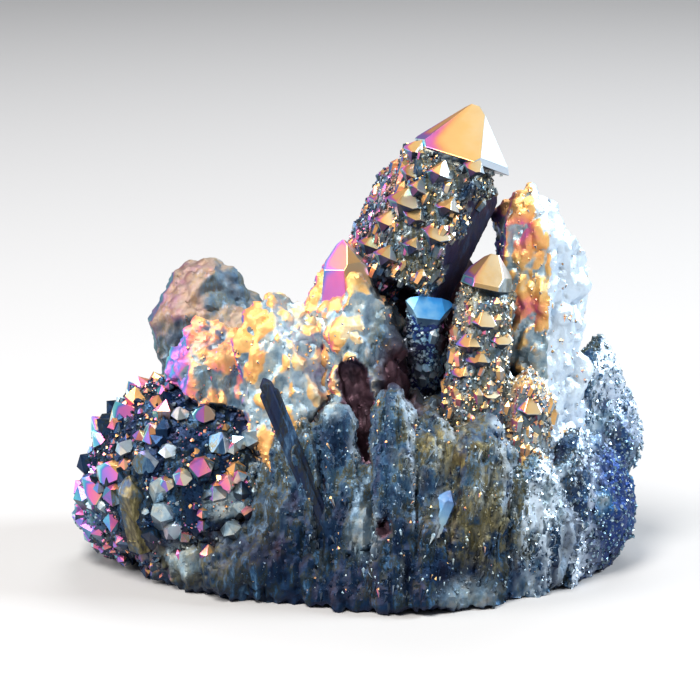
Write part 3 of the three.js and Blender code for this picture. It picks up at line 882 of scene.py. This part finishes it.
class Nodes:
    """A node material, with short names for the sums it is made of."""

    def __init__(self, name):
        self.material = bpy.data.materials.new(name)
        self.material.use_nodes = True
        self.tree = self.material.node_tree
        self.place = self.add("TexCoord").outputs["Object"]

    def add(self, kind, inputs=(), **settings):
        node = self.tree.nodes.new("ShaderNode" + kind)
        for key, value in settings.items():
            setattr(node, key, value)
        self.feed(node, dict(inputs))
        return node

    def feed(self, node, inputs):
        """Set a node's inputs, or link them to other nodes."""
        for key, value in inputs.items():
            if isinstance(value, (int, float, tuple)):
                node.inputs[key].default_value = value
            else:
                self.tree.links.new(value, node.inputs[key])

    def math(self, operation, *values, kind="Math"):
        return self.add(kind, enumerate(values), operation=operation).outputs[0]

    def times(self, first, second):
        return self.math("MULTIPLY", first, second)

    def minus(self, first, second):
        return self.math("SUBTRACT", first, second)

    def plus(self, total, *more):
        for value in more:
            total = self.math("ADD", total, value)
        return total

    def ease(self, value, low, high):
        """0 below low, 1 above high, and smooth between."""
        inputs = {"Value": value, "From Min": low, "From Max": high}
        return self.add("MapRange", inputs, interpolation_type="SMOOTHSTEP").outputs["Result"]

    def mix(self, factor, first, second, kind="RGBA"):
        one, other, mixed = MIX_SOCKETS[kind]
        inputs = {0: factor, one: first, other: second}
        return self.add("Mix", inputs, data_type=kind).outputs[mixed]

    def read(self, name, output="Fac"):
        """A value stored at every vertex."""
        return self.add("Attribute", attribute_name=name).outputs[output]

    def noise(self, size, detail=3.0, rough=0.55, vector=None):
        """Noise from 0 to 1 with lumps of a size in millimetres."""
        vector = self.place if vector is None else vector
        inputs = {"Scale": 1 / (size * MM), "Detail": detail, "Roughness": rough, "Vector": vector}
        return self.add("TexNoise", inputs).outputs["Fac"]

    def ramp(self, value, stops):
        node = self.add("ValToRGB", {"Fac": value})
        elements = node.color_ramp.elements
        while len(elements) < len(stops):
            elements.new(0.5)
        for element, (position, colour) in zip(elements, stops):
            element.position = position
            element.color = (*colour, 1)
        return node.outputs["Color"]


METALLIC = 0.8
# The film's colours are partly its own and partly painted light: the pale blue turned right stands
# for a highlight, the blue under for shade.
FILM = [  # the film's colours, from faces turned right, over the top, to the left and under
    (0.0, (0.7, 0.86, 1.0)), (0.1, (0.98, 0.86, 0.6)), (0.2, (1.0, 0.64, 0.24)),
    (0.33, (1.0, 0.5, 0.19)), (0.41, (0.96, 0.33, 0.26)), (0.48, (0.85, 0.19, 0.48)),
    (0.57, (0.45, 0.2, 0.7)), (0.66, (0.12, 0.24, 0.68)), (0.77, (0.12, 0.55, 0.66)),
    (0.89, (0.45, 0.8, 0.88)), (1.0, (0.7, 0.86, 1.0)),
]
STEEL = [
    (0.3, (0.01, 0.028, 0.08)), (0.42, (0.03, 0.085, 0.18)), (0.49, (0.09, 0.19, 0.29)),
    (0.54, (0.12, 0.11, 0.045)), (0.58, (0.12, 0.22, 0.32)), (0.66, (0.5, 0.66, 0.76)),
]
NAVY = [(0.35, (0.003, 0.008, 0.03)), (0.48, (0.006, 0.03, 0.085)), (0.54, (0.02, 0.03, 0.03)),
        (0.6, (0.02, 0.075, 0.17)), (0.7, (0.12, 0.25, 0.4))]
AZURE = [(0.1, (0.02, 0.08, 0.45)), (0.35, (0.05, 0.35, 0.85)), (0.55, (0.4, 0.75, 1.0)),
         (0.75, (0.9, 0.96, 1.0))]
SMOKE = [(0.3, (0.06, 0.03, 0.045)), (0.6, (0.12, 0.068, 0.09)), (0.8, (0.21, 0.16, 0.2))]
OLIVE = [(0.3, (0.05, 0.045, 0.02)), (0.5, (0.16, 0.14, 0.06)), (0.7, (0.42, 0.37, 0.18))]
FROST = [(0.3, (0.22, 0.36, 0.48)), (0.5, (0.46, 0.62, 0.72)), (0.7, (0.8, 0.82, 0.74))]
# The colour of the painted highlight on sides that face right.
RIGHT_HIGHLIGHT_COLOUR = (0.72, 0.86, 1.0, 1)
# The colour of the painted shade on faces turned down.
UNDERSIDE_SHADE = (0.02, 0.025, 0.06, 1)
# The colours of the painted shade in crevices.
CREVICE_SHADE_BLUE = (0.014, 0.016, 0.045, 1)
CREVICE_SHADE_BROWN = (0.045, 0.02, 0.026, 1)
EDGE_SHIFT = 0.26  # how far the film's colour moves on at a clean edge, or facing far left
STREAKED = (1, 1, 0.3)  # draws patches out upwards


def facing(nodes, calm):
    """The way the surface faces; calm draws it towards the skin's way before it was roughened."""
    normal = nodes.add("NewGeometry").outputs["Normal"]
    if calm:
        blend = nodes.mix(calm, normal, nodes.read("lie", "Vector"), kind="VECTOR")
        normal = nodes.math("NORMALIZE", blend, kind="VectorMath")
    return nodes.add("SeparateXYZ", {0: normal}).outputs


def film_colour(nodes, x, y, z, left, lift, drift):
    """The film's colour goes round with the way the surface faces, from the right over the top. It
    is partly the film's own colour and partly painted light: pale blue on faces turned right stands
    for a highlight, and blue beneath for shade.
    """
    front = nodes.times(nodes.math("ABSOLUTE", y), lift)
    angle = nodes.math("ARCTAN2", nodes.plus(z, front), x)
    turn = nodes.math("FRACT", nodes.plus(nodes.math("DIVIDE", angle, 2 * math.pi), 1.0))
    slow = nodes.minus(nodes.noise(2.6, 2.0), 0.5)
    fine = nodes.minus(nodes.noise(0.5, 2.0), 0.5)
    rim = nodes.ease(nodes.read("rim"), 0.45, 1.0)
    hue = nodes.plus(turn, nodes.read("film"), nodes.times(slow, drift),
                     nodes.times(fine, drift * 0.3), nodes.times(rim, EDGE_SHIFT),
                     nodes.times(nodes.ease(left, 0.6, 1.0), EDGE_SHIFT), 1.0)
    return nodes.ramp(nodes.math("FRACT", hue), FILM)


def quartz_colour(nodes, drawn, frost):
    """The quartz under the film: steel-blue, or navy where dark, which is partly painted shade, with
    frosted and olive patches.
    """
    patches = nodes.noise(2.2, 6.0, 0.7, vector=drawn)
    colour = nodes.mix(nodes.read("dark"), nodes.ramp(patches, STEEL), nodes.ramp(patches, NAVY))
    colour = nodes.mix(frost, colour, nodes.ramp(nodes.noise(1.1, 3.0), FROST))
    mottled = nodes.times(nodes.ease(nodes.noise(2.0), 0.38, 0.55), nodes.read("olive"))
    return nodes.mix(mottled, colour, nodes.ramp(nodes.noise(0.5, vector=drawn), OLIVE))


def film_cover(nodes, z, left, right, height, right_highlight, frost):
    """How much of the quartz the film hides: more on top, at the left and on what stands out. The
    bright film on top and at the left is partly painted light, where the key and left lamps fall.
    """
    gild = nodes.read("gild")
    furrow = nodes.minus(nodes.times(height, 0.9), 0.35)
    open_to = nodes.plus(nodes.times(z, 0.8), nodes.times(left, 0.6),
                         nodes.times(nodes.times(right, right_highlight), 1.4), nodes.times(right, -0.8),
                         nodes.times(height, 0.3), nodes.times(gild, 0.3),
                         nodes.times(furrow, frost))
    return nodes.times(nodes.ease(open_to, 0.25, 0.65), nodes.ease(gild, 0, 1))


def right_highlight_cover(nodes, x, right_highlight):
    """How much of the surface gets the painted white-blue highlight, on the sides that face right.
    """
    side = nodes.ease(nodes.times(x, nodes.plus(right_highlight, 0.5)), 0.15, 0.6)
    whole = nodes.math("MAXIMUM", nodes.times(nodes.minus(right_highlight, 1.0), 0.3), 0.0)
    patchy = nodes.ease(nodes.plus(nodes.noise(2.2), whole), 0.3, 0.52)
    return nodes.math("MINIMUM", nodes.times(nodes.times(side, patchy), right_highlight), 1.0)


def coat_colour(nodes, calm, lift, drift, azure):
    """The colour of the coated quartz, from its film down to the painted shade in its darkest
    hollows.
    """
    x, y, z = facing(nodes, calm)
    height, right_highlight, frost, smoky = (nodes.read(key) for key in ("height", "right_highlight", "frost", "smoky"))
    left = nodes.math("MAXIMUM", nodes.times(x, -1.0), 0.0)
    right = nodes.math("MAXIMUM", x, 0.0)
    drawn = nodes.math("MULTIPLY", nodes.place, STREAKED, kind="VectorMath")
    colour = nodes.mix(film_cover(nodes, z, left, right, height, right_highlight, frost),
                       quartz_colour(nodes, drawn, frost),
                       film_colour(nodes, x, y, z, left, lift, drift))
    # A painted highlight: the sides that face right are made white-blue.
    colour = nodes.mix(right_highlight_cover(nodes, x, right_highlight), colour, RIGHT_HIGHLIGHT_COLOUR)
    depth = nodes.plus(nodes.times(nodes.minus(nodes.noise(2.4), 0.5), 0.5), height)
    colour = nodes.mix(azure, colour, nodes.ramp(depth, AZURE))
    colour = nodes.mix(smoky, colour, nodes.ramp(nodes.noise(0.9, vector=drawn), SMOKE))
    # Painted shade: faces turned down are darkened towards navy.
    under = nodes.ease(nodes.times(z, -1.0), 0.05, 0.7)
    colour = nodes.mix(nodes.times(under, 0.8), colour, UNDERSIDE_SHADE)
    # Painted shade: crevices are darkened to navy and brown by how shut in by quartz they are.
    hollow = nodes.ease(nodes.read("hollow"), 0.25, 0.95)
    crevice_shade_amount = nodes.times(hollow, nodes.minus(1.0, nodes.times(smoky, 0.6)))
    deep = nodes.mix(nodes.ease(nodes.noise(4.0), 0.4, 0.6), CREVICE_SHADE_BLUE, CREVICE_SHADE_BROWN)
    return nodes.mix(crevice_shade_amount, colour, deep)


def coated(name, roughness, grit, lift, grit_size=0.22, calm=0.0, drift=0.4, patchy=0.14):
    """A material whose film changes colour with the way the surface faces."""
    nodes = Nodes(name)
    azure = nodes.read("azure")
    rough = {"Value": nodes.noise(0.8), "To Min": roughness - patchy, "To Max": roughness + patchy}
    rough = nodes.add("MapRange", rough).outputs["Result"]
    grain = nodes.noise(grit_size, 3.0, 0.7)
    bump = nodes.add("Bump", {"Strength": 0.6, "Distance": grit * MM, "Height": grain})
    nodes.feed(nodes.tree.nodes["Principled BSDF"], {
        "Base Color": coat_colour(nodes, calm, lift, drift, azure),
        "Metallic": nodes.times(nodes.minus(1.0, nodes.times(azure, 0.6)), METALLIC),
        "Roughness": nodes.plus(rough, nodes.times(nodes.read("matte"), 0.4)),
        "Normal": bump.outputs[0],
    })
    return nodes.material


# ---- The cluster ----

skins = [rough_skin(f"rough_{name}", **row) for name, row in SKINS.items()]
small = [grown(skin, SHARES.get(name, 1)) for name, skin in zip(SKINS, skins)]
clean = clean_crystals()
rough_film = coated("rough_film", roughness=0.42, grit=0.12, grit_size=0.3, calm=0.6, lift=1.4)
druse_film = coated("druse_film", roughness=0.32, grit=0.02, lift=0.8)
clean_film = coated("clean_film", roughness=0.32, grit=0.003, lift=0.35, drift=0.06, patchy=0.03)
for mesh in skins:
    finished(mesh, rough_film)
for mesh in small:
    finished(mesh, druse_film)
finished(clean, clean_film)


# ---- Stage ----

# The lights: where each stands and how wide it is, in metres, its power in watts and its colour.
LIGHTS = {
    "key": ((-0.14, -0.23, 0.5), 0.24, 3.7, (1.0, 0.96, 0.9)),
    "left": ((-0.45, -0.08, 0.26), 0.26, 1.8, (1.0, 0.96, 0.92)),
    "right": ((0.42, 0.03, 0.33), 0.2, 2.8, (0.9, 0.96, 1.0)),
    "top_back": ((0.05, 0.35, 0.45), 0.3, 1.2, (1, 1, 1)),
}
LIT = Vector((0, 0, 0.02))  # where the lights point
SKY = (0.55, 0.58, 0.63, 1)
PALE = (0.5, 0.5, 0.51, 1)
AIM = Vector((-0.0011, 0.0004, 0.0230))  # where the camera points
DISTANCE = 0.3
TILT = math.radians(14)  # how far the camera looks down


def area_light(name, place, size, power, colour):
    light = bpy.data.lights.new(name, "AREA")
    light.shape = "DISK"
    light.size = size
    light.energy = power
    light.color = colour
    lamp = new_object(name, light)
    lamp.location = place
    lamp.rotation_euler = (LIT - Vector(place)).to_track_quat("-Z", "Y").to_euler()


def stage():
    bm = bmesh.new()
    bmesh.ops.create_grid(bm, x_segments=1, y_segments=1, size=3)
    mesh = bpy.data.meshes.new("floor")
    bm.to_mesh(mesh)
    bm.free()
    floor = new_object("floor", mesh)
    pale = bpy.data.materials.new("pale_floor")
    pale.use_nodes = True
    shader = pale.node_tree.nodes["Principled BSDF"]
    shader.inputs["Base Color"].default_value = PALE
    shader.inputs["Roughness"].default_value = 0.7
    mesh.materials.append(pale)
    world = bpy.data.worlds.new("studio")
    world.use_nodes = True
    background = world.node_tree.nodes["Background"]
    background.inputs["Color"].default_value = SKY
    background.inputs["Strength"].default_value = 0.22
    bpy.context.scene.world = world
    for name, settings in LIGHTS.items():
        area_light(name, *settings)
    bpy.context.scene.view_settings.view_transform = "Standard"


def camera():
    data = bpy.data.cameras.new("camera")
    data.lens = 146.5
    data.sensor_width = 36
    data.clip_start = 0.01
    made = new_object("camera", data)
    made.location = AIM + DISTANCE * Vector((0, -math.cos(TILT), math.sin(TILT)))
    made.rotation_euler = (math.pi / 2 - TILT, 0, 0)
    bpy.context.scene.camera = made


stage()
camera()
